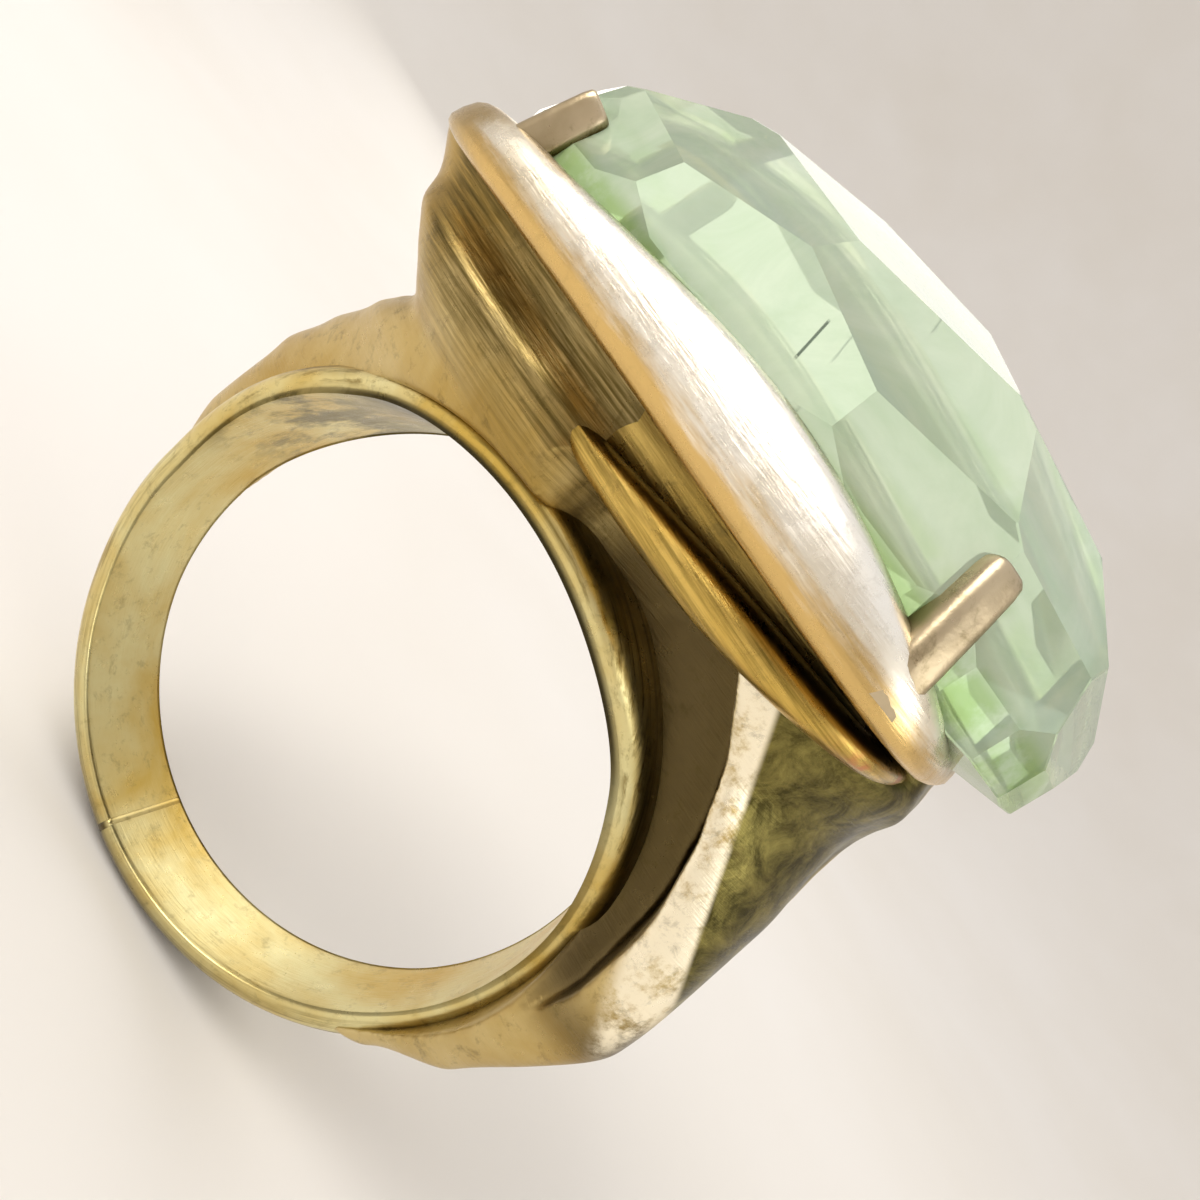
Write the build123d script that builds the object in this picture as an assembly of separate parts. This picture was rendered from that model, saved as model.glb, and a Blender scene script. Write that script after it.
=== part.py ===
"""Cocktail ring: a twisted gilt setting with a large faceted green stone.

Frame: X runs across the face of the ring, Y is the finger axis and Z points
from the finger hole up to the stone. The origin is the centre of the finger hole.
The setting is turned a few degrees about Z on top of the band.
Units are millimetres.
"""
from build123d import *
import os
from math import cos, sin, pi, radians, hypot, copysign

# ---- finger band ----
BORE_RADIUS = 8.7
BAND_THICKNESS = 1.0
BAND_OUTER = BORE_RADIUS + BAND_THICKNESS
BAND_WIDTH_BOTTOM = 3.0
BAND_WIDTH_MIDDLE = 3.6
BAND_WIDTH_SHOULDER = 6.8
SHOULDER_Z = 6.15
BAND_WIDTH_TOP = 10.4
BAND_WIDTH_LIP = 12.2
SEAM_WIDTH = 0.35
SEAM_ANGLE = 10.0

# ---- setting ----
SETTING_TWIST = -14.0
SETTING_SHIFT = 1.0
RIM_LENGTH = 19.8
RIM_WIDTH = 15.4
RIM_CORNER = 3.6
LIP_LENGTH = 17.8
LIP_WIDTH = 13.4
LIP_CORNER = 3.4
BASE_LENGTH = 15.4
BASE_WIDTH = 9.6
BASE_CORNER = 2.9
BASE_Z = 9.9
FLARE_TOP_Z = 13.0
BLANK_TOP_Z = 15.0
BLANK_TOP_DRAFT = 0.3
WALL_INSET = 0.9
BOW_REACH = 1.4
LIP_BOTTOM_MIDDLE = 10.5
LIP_BOTTOM_END = 11.9
LIP_TOP_MIDDLE = 11.4
LIP_TOP_END = 12.4
RIM_BOTTOM = 12.6
RIM_TOP_MIDDLE = 14.4
RIM_TOP_END = 13.4
SEAT_TOP = 13.2
SEAT_MARGIN = 1.3

# ---- stone ----
STONE_HALF_LENGTH = 10.9
STONE_HALF_WIDTH = 7.1
STONE_POWER = 2.6
GIRDLE_Z = 13.8
GIRDLE_HEIGHT = 0.35
CROWN_HEIGHT = 5.7
PAVILION_DEPTH = 1.9
CULET_SCALE = 0.42
# rows of crown facets: height angle above the girdle, facets in the row, turn of the row
CROWN_ROWS = ((14.0, 14, 0.5), (36.0, 10, 0.0), (60.0, 6, 0.5))
GIRDLE_FACETS = 32
PAVILION_FACETS = 12

# ---- claws ----
CLAW_RADIUS = 0.52
CLAW_TIP_RADIUS = 0.42
CLAW_ROOT = 0.6
CLAW_TIP_ROUNDING = 0.21
CLAW_FOOT = (8.0, 6.45, RIM_BOTTOM)
CLAW_TIP = (7.2, 5.5, 15.9)
CLAW_LEFT_FOOT = (6.9, 6.75, RIM_BOTTOM)
CLAW_LEFT_TIP = (6.35, 6.3, 15.5)

# ---- shoulders ----
SHOULDER_SPLIT_X = 1.5
SHOULDER_TOP_Z = 12.5
FLANGE_START_ANGLE = -42.0
FLANGE_REACH = 11.9
FLANGE_LOW = (10.7, -2.6)
FLANGE_WIDEST = (FLANGE_REACH, 2.2)
FLANGE_HIGH = (11.7, 7.0)
FLANGE_TIP_X = 10.8
FLANGE_FRONT = 4.8
FLANGE_TOP_EDGE = (6.6, -FLANGE_FRONT, 10.9)
FLANGE_LOW_EDGE = (11.1, -FLANGE_FRONT, 4.6)
FLANGE_OUTER = (10.8, -0.5, 12.3)
FLANGE_TAPER = 0.305
RECESS_RADIUS = 9.85
RECESS_CENTRE = (0.45, 1.9)
RECESS_DEPTH = 2.8
SLIM_START_ANGLE = -20.0
SLIM_WIDEST = (10.7, 1.5)
SLIM_HIGH = (10.3, 4.7)
SLIM_WAIST = (8.6, 8.9)
SLIM_TIP_X = 9.6

CLEARANCE = 0.02
STONE_CLEARANCE = 0.05
FAR = 40.0


def side_mask():
    """Width of the band seen along X: narrow under the finger, wide at the top."""
    low = -BAND_OUTER - 1
    top = LIP_BOTTOM_END + 1
    right = Spline(
        (BAND_WIDTH_BOTTOM / 2, low),
        (BAND_WIDTH_MIDDLE / 2, 0),
        (BAND_WIDTH_SHOULDER / 2, SHOULDER_Z),
        (BAND_WIDTH_TOP / 2, BORE_RADIUS),
        (BAND_WIDTH_LIP / 2, top),
    )
    left = mirror(right, about=Plane.YZ)
    bottom = Line(right @ 0, left @ 0)
    lid = Line(right @ 1, left @ 1)
    face = Plane.YZ * make_face([right, lid, left, bottom])
    return extrude(face, amount=FAR / 2, both=True)


def front_prism(edges):
    """Closed outline in XZ, extruded both ways along Y."""
    face = Plane.XZ * make_face(edges)
    return extrude(face, amount=FAR / 2, both=True)


def bore_cylinder(radius):
    """Cylinder about the finger axis."""
    return Rot(90, 0, 0) * Cylinder(radius, FAR)


def seam_slab():
    """Thin radial slab across the bottom of the band."""
    slab = Pos(0, 0, -BAND_OUTER) * Box(SEAM_WIDTH, FAR, 2 * BAND_OUTER / 3)
    return Rot(0, SEAM_ANGLE, 0) * slab


def full_band():
    """The closed finger band before the sizing seam is cut."""
    tube = bore_cylinder(BAND_OUTER) - bore_cylinder(BORE_RADIUS)
    return tube & side_mask()


def turned(shape):
    """Place a piece of the setting: twisted on the band and a little to one side."""
    return Pos(SETTING_SHIFT, 0, 0) * Rot(0, 0, SETTING_TWIST) * shape


def bow(middle, end):
    """Shallow arc across the setting in XZ, or a straight line when level."""
    reach = BOW_REACH * RIM_LENGTH / 2
    tip = middle + (end - middle) * BOW_REACH ** 2
    if abs(tip - middle) < CLEARANCE:
        return Line((-reach, middle), (reach, middle))
    return ThreePointArc((-reach, tip), (0, middle), (reach, tip))


def arc_layer(low_middle, low_end, high_middle, high_end):
    """Layer of the setting between a low bow and a high bow, along Y."""
    low = bow(low_middle, low_end)
    high = bow(high_middle, high_end)
    return front_prism([low, Line(low @ 1, high @ 1), high, Line(high @ 0, low @ 0)])


def setting_blank(inset):
    """Flared body of the setting, from the band up past the stone's edge."""
    levels = (
        (BASE_Z, BASE_LENGTH, BASE_WIDTH, BASE_CORNER),
        (LIP_TOP_MIDDLE, LIP_LENGTH, LIP_WIDTH, LIP_CORNER),
        (FLARE_TOP_Z, RIM_LENGTH, RIM_WIDTH, RIM_CORNER),
        (BLANK_TOP_Z, RIM_LENGTH + BLANK_TOP_DRAFT, RIM_WIDTH + BLANK_TOP_DRAFT, RIM_CORNER),
    )
    sections = []
    for z, length, width, corner in levels:
        outline = RectangleRounded(length - 2 * inset, width - 2 * inset, corner - inset)
        sections.append(Pos(0, 0, z) * outline)
    return loft(sections, ruled=True)


def tangent_plane(row_angle, around, grow):
    """Point and normal on the rounded cushion form of the crown."""
    up = radians(row_angle)
    flat = 2.0 / STONE_POWER
    c = cos(around)
    s = sin(around)
    x = STONE_HALF_LENGTH * cos(up) * copysign(abs(c) ** flat, c)
    y = STONE_HALF_WIDTH * cos(up) * copysign(abs(s) ** flat, s)
    z = CROWN_HEIGHT * sin(up)
    p = STONE_POWER
    u = max(abs(x / STONE_HALF_LENGTH), 1e-6)
    v = max(abs(y / STONE_HALF_WIDTH), 1e-6)
    shared = (u ** p + v ** p) ** (2 / p - 1)
    nx = copysign(shared * u ** (p - 1) / STONE_HALF_LENGTH, x)
    ny = copysign(shared * v ** (p - 1) / STONE_HALF_WIDTH, y)
    nz = z / CROWN_HEIGHT ** 2
    size = hypot(hypot(nx, ny), nz)
    normal = Vector(nx / size, ny / size, nz / size)
    point = Vector(x, y, GIRDLE_Z + z) + normal * grow
    return point, normal


def keep_below(solid, point, normal):
    """The part of a solid on the inner side of a plane."""
    plane = Plane(origin=point, z_dir=normal)
    return split(solid, bisect_by=plane, keep=Keep.BOTTOM)


def stone_body(grow=0.0):
    """Cushion stone: flat crown facets, a thin girdle and a shallow underside."""
    outline = []
    for i in range(GIRDLE_FACETS):
        point, normal = tangent_plane(0, 2 * pi * i / GIRDLE_FACETS, grow)
        outline.append((point, normal))
    reach = 2 * STONE_HALF_LENGTH
    height = CROWN_HEIGHT + PAVILION_DEPTH + GIRDLE_HEIGHT + 2 * grow
    middle = GIRDLE_Z + CROWN_HEIGHT + grow - height / 2
    body = Pos(0, 0, middle) * Box(2 * reach, 2 * reach, height)
    for point, normal in outline:
        body = keep_below(body, point, normal)
    for row_angle, count, turn in CROWN_ROWS:
        for i in range(count):
            around = 2 * pi * (i + turn) / count
            point, normal = tangent_plane(row_angle, around, grow)
            body = keep_below(body, point, normal)
    for i in range(PAVILION_FACETS):
        point, normal = tangent_plane(0, 2 * pi * i / PAVILION_FACETS, grow)
        run = hypot(point.X, point.Y) * (1 - CULET_SCALE)
        slope = Vector(normal.X * PAVILION_DEPTH, normal.Y * PAVILION_DEPTH, -run)
        edge = Vector(point.X, point.Y, GIRDLE_Z - GIRDLE_HEIGHT - grow)
        body = keep_below(body, edge, slope.normalized())
    return body


def claw_rod(side_x, side_y, grow=0.0):
    """Tapered leaning rod from the rim up over the edge of the stone."""
    foot_x, foot_y, foot_z = CLAW_FOOT
    tip_x, tip_y, tip_z = CLAW_TIP
    if side_x == side_y:
        foot_x, foot_y, foot_z = CLAW_LEFT_FOOT
        tip_x, tip_y, tip_z = CLAW_LEFT_TIP
    foot = Vector(side_x * foot_x, side_y * foot_y, foot_z)
    tip = Vector(side_x * tip_x, side_y * tip_y, tip_z)
    lean = (tip - foot).normalized()
    start = Plane(origin=foot - lean * CLAW_ROOT, z_dir=lean)
    end = Plane(origin=tip, z_dir=lean)
    rod = loft([start * Circle(CLAW_RADIUS + grow), end * Circle(CLAW_TIP_RADIUS + grow)])
    rounded = rod
    if grow == 0.0:
        tip_edge = rod.edges().sort_by(Axis.Z)[-1]
        rounded = fillet(tip_edge, CLAW_TIP_ROUNDING)
    floor = Pos(0, 0, CLAW_FOOT[2] + FAR / 2) * Box(FAR, FAR, FAR)
    return rounded & floor


def claw_corners():
    """Signs of X and Y for the four corners of the setting."""
    return {
        "claw_front_left": (-1, -1),
        "claw_front_right": (1, -1),
        "claw_back_left": (-1, 1),
        "claw_back_right": (1, 1),
    }


def polar(radius, angle):
    """Point in XZ at an angle above the X axis."""
    return radius * cos(radians(angle)), radius * sin(radians(angle))


def shoulder_outline():
    """Outer XZ silhouette of the bulky shoulder, from the side of the band to the lip."""
    start = polar(BAND_OUTER, FLANGE_START_ANGLE)
    end = (FLANGE_TIP_X, SHOULDER_TOP_Z)
    curve = Spline(start, FLANGE_LOW, FLANGE_WIDEST, FLANGE_HIGH, end)
    lid = Line(end, (0, SHOULDER_TOP_Z))
    middle = Line((0, SHOULDER_TOP_Z), (0, 0))
    return front_prism([curve, lid, middle, Line((0, 0), start)])


def slim_outline():
    """XZ silhouette of the slim sides, hugging the band and flaring to the rim."""
    start = polar(BAND_OUTER, SLIM_START_ANGLE)
    end = (SLIM_TIP_X, SHOULDER_TOP_Z)
    right = Spline(start, SLIM_WIDEST, SLIM_HIGH, SLIM_WAIST, end)
    left = mirror(right, about=Plane.YZ)
    return front_prism([right, Line(right @ 1, left @ 1), left, Line(left @ 0, right @ 0)])


def below_lip():
    """Everything under the curved underside of the lower lip."""
    high_middle = LIP_BOTTOM_MIDDLE - CLEARANCE
    high_end = LIP_BOTTOM_END - CLEARANCE
    return turned(arc_layer(-FAR / 2, -FAR / 2, high_middle, high_end))


def front_right_block():
    """Quarter space that holds the near right shoulder."""
    span = FAR / 2
    return Pos(SHOULDER_SPLIT_X + span, -span, 0) * Box(2 * span, 2 * span, 2 * FAR)


def make_flange_right():
    """Right shoulder: bulky outer wall with a scooped hollow beside the band."""
    body = shoulder_outline() & front_right_block() & below_lip()
    body = body - bore_cylinder(BAND_OUTER + CLEARANCE)
    top_edge = Vector(*FLANGE_TOP_EDGE)
    low_edge = Vector(*FLANGE_LOW_EDGE)
    body = keep_below(body, top_edge, Vector(0, -1, 0))
    # the outer surface falls back from the front edge to the outer silhouette
    outward = (low_edge - top_edge).cross(Vector(*FLANGE_OUTER) - top_edge)
    body = keep_below(body, top_edge, outward.normalized())
    # the front narrows towards the bottom like the band
    slope = Vector(0, -1, -FLANGE_TAPER).normalized()
    body = keep_below(body, Vector(0, -FLANGE_FRONT, SHOULDER_Z), slope)
    centre_x, centre_z = RECESS_CENTRE
    scoop = Pos(centre_x, 0, centre_z) * bore_cylinder(RECESS_RADIUS)
    scoop = scoop & (Pos(0, -FLANGE_FRONT - FAR / 2 + RECESS_DEPTH, 0) * Box(FAR, FAR, FAR))
    return body - scoop


def make_flange_left():
    """Left shoulder: the same form turned half round, trimmed to the slimmer left side."""
    return (Rot(0, 0, 180) * make_flange_right()) & below_lip() & slim_outline()


def make_gallery_base():
    """Slim body between the band and the lip, swelling into both shoulders."""
    body = slim_outline() & side_mask() & below_lip()
    body = body - bore_cylinder(BAND_OUTER + CLEARANCE)
    body = body - front_right_block()
    body = body - Rot(0, 0, 180) * front_right_block()
    return body


def make_seat_cutter():
    """Opening inside the rim that the stone seat fills."""
    length = RIM_LENGTH - 2 * SEAT_MARGIN
    width = RIM_WIDTH - 2 * SEAT_MARGIN
    outline = RectangleRounded(length, width, RIM_CORNER - SEAT_MARGIN)
    return Pos(0, 0, RIM_BOTTOM) * extrude(outline, amount=FAR / 4, both=True)


def make_parts():
    """All pieces of the ring by node name."""
    band = full_band()
    slab = seam_slab()
    parts = {}
    parts["finger_band"] = band - slab
    parts["sizing_seam"] = band & slab

    parts["shoulder_right"] = make_flange_right()
    parts["shoulder_left"] = make_flange_left()
    parts["gallery_base"] = make_gallery_base()

    stone_room = stone_body(STONE_CLEARANCE)
    lip_layer = arc_layer(LIP_BOTTOM_MIDDLE, LIP_BOTTOM_END, LIP_TOP_MIDDLE, LIP_TOP_END)
    wall_layer = arc_layer(
        LIP_TOP_MIDDLE + CLEARANCE, LIP_TOP_END + CLEARANCE, RIM_BOTTOM, RIM_BOTTOM
    )
    rim_layer = arc_layer(RIM_BOTTOM, RIM_BOTTOM, RIM_TOP_MIDDLE, RIM_TOP_END)
    blank = setting_blank(0.0)

    seat_cutter = make_seat_cutter()
    lip = blank & lip_layer
    wall = setting_blank(WALL_INSET) & wall_layer
    rim = blank & rim_layer
    seat_height = Pos(0, 0, SEAT_TOP - FAR / 2) * Box(FAR, FAR, FAR)
    seat = rim & seat_cutter & seat_height
    rim = rim - seat_cutter

    parts["lower_lip"] = lip - stone_room
    parts["gallery_wall"] = wall - stone_room
    parts["stone_seat"] = seat - stone_room
    rim = rim - stone_room
    for name, (side_x, side_y) in claw_corners().items():
        parts[name] = claw_rod(side_x, side_y) - stone_room
        rim = rim - claw_rod(side_x, side_y, CLEARANCE)
        parts["stone_seat"] = parts["stone_seat"] - claw_rod(side_x, side_y, CLEARANCE)
    parts["upper_rim"] = rim
    parts["stone"] = stone_body()

    setting = ["lower_lip", "gallery_wall", "stone_seat", "upper_rim", "stone"]
    for name in setting + list(claw_corners()):
        parts[name] = turned(parts[name])
    return parts


os.makedirs("parts", exist_ok=True)
for node, shape in make_parts().items():
    export_step(shape, "parts/" + node + ".step")
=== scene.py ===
"""Looks of the cocktail ring: gilt metal with wear, a pale green faceted stone, soft daylight.

Lengths are millimetres in the ring's own frame (X across the face, Y along the finger,
Z up to the stone) and become metres when a mesh, light or camera is made. Angles round
the band are degrees from its top.
"""
import math
import bpy
import bmesh
from mathutils import Matrix, Vector


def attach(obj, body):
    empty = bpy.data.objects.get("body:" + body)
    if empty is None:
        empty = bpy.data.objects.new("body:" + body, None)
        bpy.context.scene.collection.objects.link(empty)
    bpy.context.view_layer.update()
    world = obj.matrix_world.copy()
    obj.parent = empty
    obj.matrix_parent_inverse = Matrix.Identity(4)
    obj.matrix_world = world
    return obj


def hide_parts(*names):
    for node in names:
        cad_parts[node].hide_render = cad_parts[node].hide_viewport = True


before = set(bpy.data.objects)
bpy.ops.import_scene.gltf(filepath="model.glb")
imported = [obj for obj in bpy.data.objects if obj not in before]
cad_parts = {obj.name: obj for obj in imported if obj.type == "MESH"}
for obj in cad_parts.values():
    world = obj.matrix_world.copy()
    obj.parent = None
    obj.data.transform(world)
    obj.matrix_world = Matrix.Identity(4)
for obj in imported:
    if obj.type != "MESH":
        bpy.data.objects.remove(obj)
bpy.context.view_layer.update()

MM = 0.001

# ---- finger band ----
BORE = 8.7
BAND_OUTER = 9.7
BAND_EDGE_LOW = 0.4
BAND_EDGE_HIGH = 0.75
# half the width of the band: (height, half width)
BAND_HALF_WIDTH = ((-10.7, 1.5), (-4.35, 1.55), (0.0, 1.8), (6.15, 3.4), (8.7, 5.2), (10.5, 6.0))
SEAM_ANGLE = 190.0
SEAM_HALF_ANGLE = 0.7
SEAM_PROUD = 0.003

# ---- setting: rim, lip and the groove between them ----
TWIST = math.radians(-14.0)
SHIFT = 1.0
OUTLINE_POWER = 4.2
RIM_HALF = (9.9, 7.7)
RIM_OFFSET = -0.3
RIM_INSET = 0.2
RIM_WIDTH = 1.8
RIM_BULGE = 0.35
RIM_FLARE = 0.25
RIM_BOTTOM = 12.6
RIM_DROP_MIDDLE = 0.2
RIM_DROP_END = 0.25
RIM_TOP_MIDDLE = 14.55
RIM_TOP_END = 13.4
ROLL_HEIGHT = 0.28
ROLL_REACH = 9.0
LIP_HALF = (9.5, 6.5)
LIP_WIDTH = 2.4
LIP_FLARE = 0.3
LIP_TUCK = 0.75
LIP_THIN = 0.6
LIP_BOTTOM_MIDDLE = 10.3
LIP_BOTTOM_END = 11.7
LIP_TOP_MIDDLE = 11.35
LIP_TOP_END = 12.4
WALL_INTO_LIP = 0.2
WALL_INTO_RIM = 0.3
# section of the groove wall: (outward, height from 0 to 1)
WALL_SECTION = ((-2.0, 0.0), (-0.9, 0.0), (-1.05, 0.5), (-0.8, 1.0), (-2.0, 1.0))

# ---- stone ----
GIRDLE_Z = 13.8
GIRDLE_HEIGHT = 0.35
GIRDLE_FACETS = 28
CROWN = 5.7
PAVILION = 1.9
PAVILION_FACETS = 14
PAVILION_RUN = 0.58
STONE_HALF = (10.9, 7.1)
STONE_POWER = 2.6
# facets of the crown: (angle up from the girdle, how many, turn in steps)
CROWN_ROWS = ((14.0, 14, 0.5), (36.0, 10, 0.0), (60.0, 6, 0.5), (90.0, 1, 0.0))
STONE_BLOCK = 40.0
FACET_WEAR = 0.035

# ---- claws ----
CLAW_FOOT = (8.0, 6.45, RIM_BOTTOM)
CLAW_TIP = (7.2, 5.5, 15.9)
CLAW_LEFT_FOOT = (6.9, 6.75, RIM_BOTTOM)
CLAW_LEFT_TIP = (6.35, 6.3, 15.5)
# thickness of a claw: (part of its length, half thickness)
CLAW_STATIONS = (
    (0.0, 0.5), (0.35, 0.5), (0.7, 0.48), (0.9, 0.46), (0.97, 0.43), (0.995, 0.38), (1.0, 0.3),
)

# ---- cast body ----
# silhouettes: (height, distance from the middle)
SLIM_END = (
    (-6.6, 6.2), (-3.3, 9.3), (1.5, 10.6), (4.7, 10.3), (6.3, 9.6),
    (8.0, 8.6), (8.7, 8.1), (9.2, 7.6), (9.7, 8.0), (11.0, 9.8), (12.7, 11.3),
)
BULKY_END = (
    (-6.6, 6.2), (-5.0, 8.5), (-2.6, 10.2), (2.2, 11.8), (7.0, 11.5), (9.0, 11.1),
    (11.0, 10.2), (12.4, 9.5),
)
SLIM_FRONT = (
    (-6.6, 1.5), (-4.0, 1.6), (0.0, 1.9), (4.0, 2.6), (6.2, 3.5), (8.7, 5.3), (10.2, 6.3),
    (10.9, 6.5), (11.6, 6.2), (12.7, 6.3),
)
BULKY_FRONT = ((-6.6, 1.5), (-5.0, 1.7), (0.0, 3.2), (5.0, 4.6), (7.0, 4.9), (9.0, 5.2), (12.4, 6.0))
# how square the corners are: (height, power of the rounded rectangle)
CORNER_POWER = ((-6.6, 2.6), (4.0, 2.6), (9.0, 2.8), (10.5, 3.6), (12.4, 6.5))
BULKY_POWER = 12.0
# the flat slope that cuts the corner of each bulky quarter
BEVEL_NORMAL = (0.58, -0.70)
BEVEL_START = 11.7
BEVEL_FALL = 0.414
BODY_TOP = 12.7
BODY_LOW = -6.6
# how far the wall steps back under the lip, and where the body takes up the twist
LIP_OVERHANG = 1.9
TWIST_FROM = 9.0
TWIST_TO = 12.2
BODY_BORE = 9.2
CUTTER_REACH = 14.0
# outer edge of the hollow: (angle above the side of the ring, distance from the bore axis)
HOLLOW_EDGE = (
    (0.0, 9.3), (8.0, 9.75), (17.0, 10.1), (35.0, 10.8), (45.0, 11.2),
    (55.0, 11.65), (66.0, 12.2), (78.0, 11.9), (90.0, 10.9), (98.0, 9.4),
)
# how far the floor of the hollow stays from the middle of the ring: (angle, distance)
HOLLOW_FLOOR = (
    (0.0, 3.7), (12.0, 2.9), (25.0, 2.3), (40.0, 2.0), (70.0, 2.4), (84.0, 3.9),
    (92.0, 5.6), (98.0, 7.4),
)
# inner edge of the hollow, a little inside the cut for the band
HOLLOW_INNER = 9.0
CAST_GRAIN = 0.11
WEAR_AMOUNT = 0.6
WEAR_PASSES = 9

# ---- floor, light and camera ----
FLOOR_Z = -9.72
FLOOR_MIDDLE = 40.0
FLOOR_FLAT = 110.0
FLOOR_SWEEP = 210.0
BACKDROP_TOP = (322.0, 330.0)
LIGHT_TARGET = (0.0, 0.0, 6.0)
CAMERA_PLACE = (5.285, -24.6146, 13.3528)
CAMERA_TARGET = (1.7618, 0.0, 7.8924)
CAMERA_ROLL = math.radians(53.6506)


def smooth(low, high, value):
    """Eased step from 0 at low to 1 at high."""
    t = min(max((value - low) / (high - low), 0.0), 1.0)
    return t * t * (3 - 2 * t)


def mix(a, b, t):
    """Value between a at t = 0 and b at t = 1."""
    return a + (b - a) * t


def along(stops, value):
    """Smooth value of a list of (position, value) stops."""
    if value <= stops[0][0]:
        return stops[0][1]
    for (p0, v0), (p1, v1) in zip(stops, stops[1:]):
        if value <= p1:
            t = (value - p0) / (p1 - p0)
            return mix(v0, v1, 0.5 * t + 0.5 * smooth(0.0, 1.0, t))
    return stops[-1][1]


def turned(p):
    """Place a point of the setting: twisted on the band and a little to one side."""
    c = math.cos(TWIST)
    s = math.sin(TWIST)
    return (p[0] * c - p[1] * s + SHIFT, p[0] * s + p[1] * c, p[2])


def mesh_object(name, points, faces):
    """A smooth-shaded mesh object from millimetre points."""
    mesh = bpy.data.meshes.new(name)
    mesh.from_pydata([(x * MM, y * MM, z * MM) for x, y, z in points], [], faces)
    mesh.validate()
    build = bmesh.new()
    build.from_mesh(mesh)
    bmesh.ops.recalc_face_normals(build, faces=build.faces)
    build.to_mesh(mesh)
    build.free()
    obj = bpy.data.objects.new(name, mesh)
    bpy.context.scene.collection.objects.link(obj)
    for polygon in mesh.polygons:
        polygon.use_smooth = True
    return obj


def grid_faces(rows, columns):
    """Faces of a grid of points that closes on itself in both directions."""
    faces = []
    for i in range(rows):
        for j in range(columns):
            a = i * columns + j
            b = i * columns + (j + 1) % columns
            c = ((i + 1) % rows) * columns + (j + 1) % columns
            d = ((i + 1) % rows) * columns + j
            faces.append((a, b, c, d))
    return faces


def tube_faces(rows, columns):
    """Faces of a tube: rings of points joined one to the next, closed by a flat face at each end."""
    faces = []
    for i in range(rows - 1):
        a = i * columns
        for j in range(columns):
            k = (j + 1) % columns
            faces.append((a + j, a + k, a + columns + k, a + columns + j))
    last = (rows - 1) * columns
    faces.append(tuple(range(columns)))
    faces.append(tuple(range(last, last + columns)))
    return faces


# ---- shapes ----
def band_mesh(name, start, end, grow=0.0):
    """A stretch of the finger band: flat inside, domed outside, thin at the edges."""
    points = []
    closed = end - start > 359.0
    around = 220 if closed else 3
    section = 36
    for i in range(around):
        angle = math.radians(mix(start, end, i / (around if closed else around - 1)))
        half = along(BAND_HALF_WIDTH, BORE * math.cos(angle)) + grow
        edge = mix(BAND_EDGE_LOW, BAND_EDGE_HIGH, smooth(-0.6, 0.8, math.cos(angle)))
        dome = BAND_OUTER - BORE - edge
        # round the section: the powers set how square the edges are and how full the dome
        for j in range(section):
            t = 2 * math.pi * j / section
            y = math.copysign(abs(math.cos(t)) ** 0.4, math.cos(t)) * half
            if math.sin(t) >= 0:
                depth = edge * abs(math.sin(t)) ** 0.35 + dome * abs(math.sin(t)) ** 1.2
            else:
                depth = edge * 0.16 * (1 - abs(math.sin(t)) ** 0.5)
            radius = BORE + depth + (grow if math.sin(t) >= 0 else -grow)
            points.append((radius * math.sin(angle), y, radius * math.cos(angle)))
    join = grid_faces if closed else tube_faces
    return mesh_object(name, points, join(around, section))


def build_band():
    """The round finger band."""
    return band_mesh("band", 0.0, 360.0)


def build_seam():
    """The solder line of the sizing cut, a hair proud of the band."""
    start = SEAM_ANGLE - SEAM_HALF_ANGLE
    end = SEAM_ANGLE + SEAM_HALF_ANGLE
    return band_mesh("solder_line", start, end, SEAM_PROUD)


def outline(u, half_x, half_y, power):
    """Point on a rounded rectangle."""
    angle = math.atan2(half_y * math.sin(u), half_x * math.cos(u))
    c = abs(math.cos(angle) / half_x) ** power
    s = abs(math.sin(angle) / half_y) ** power
    radius = (c + s) ** (-1 / power)
    return radius * math.cos(angle), radius * math.sin(angle)


def corner_amount(u):
    """1 at the four corners of the setting, 0 along its sides."""
    return abs(math.sin(2 * u)) ** 6


def wave(x, y):
    """Slight roll of the rim: it dips at one end of each long side."""
    side = -1 if y < 0 else 1
    return -side * ROLL_HEIGHT * math.sin(math.pi * x / ROLL_REACH) * smooth(2.0, 5.0, abs(y))


def over_hollow(u):
    """Rises along each long side: 0 where the setting is slim, 1 where it is bulky."""
    return smooth(0.30, 0.72, (u % math.pi) / math.pi)


def hoop(name, half, section, heights, flare=0.0, tuck=0.0):
    """A closed hoop round the setting.

    The section is (outward, height 0 to 1) pairs, and the heights are the bottom at the
    middle and the ends, then the top. flare pushes the corners out, and tuck draws the
    slim quarters in and makes them thinner.
    """
    points = []
    around = 240
    for i in range(around):
        u = 2 * math.pi * i / around
        for outward, level in section:
            grow = outward + flare * corner_amount(u) - tuck * (1 - over_hollow(u))
            x, y = outline(u, half[0] + grow, half[1] + grow, OUTLINE_POWER)
            if tuck:
                level = 0.5 + (level - 0.5) * mix(LIP_THIN, 1.0, over_hollow(u))
            end = (x / RIM_HALF[0]) ** 2
            low = mix(heights[0], heights[1], end)
            high = mix(heights[2], heights[3], end) + wave(x, y)
            points.append(turned((x + RIM_OFFSET, y, mix(low, high, level))))
    return mesh_object(name, points, grid_faces(around, len(section)))


def soft_section(width, bulge, power=0.6):
    """Rounded section from the outer face inward. The bulge pushes its lower part out."""
    section = []
    count = 20
    for i in range(count):
        t = 2 * math.pi * i / count
        out = math.copysign(abs(math.cos(t)) ** power, math.cos(t))
        up = math.copysign(abs(math.sin(t)) ** power, math.sin(t))
        lean = bulge * (0.5 - 0.5 * up)
        section.append((-width / 2 + out * width / 2 + lean, 0.5 + up / 2))
    return section


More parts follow.
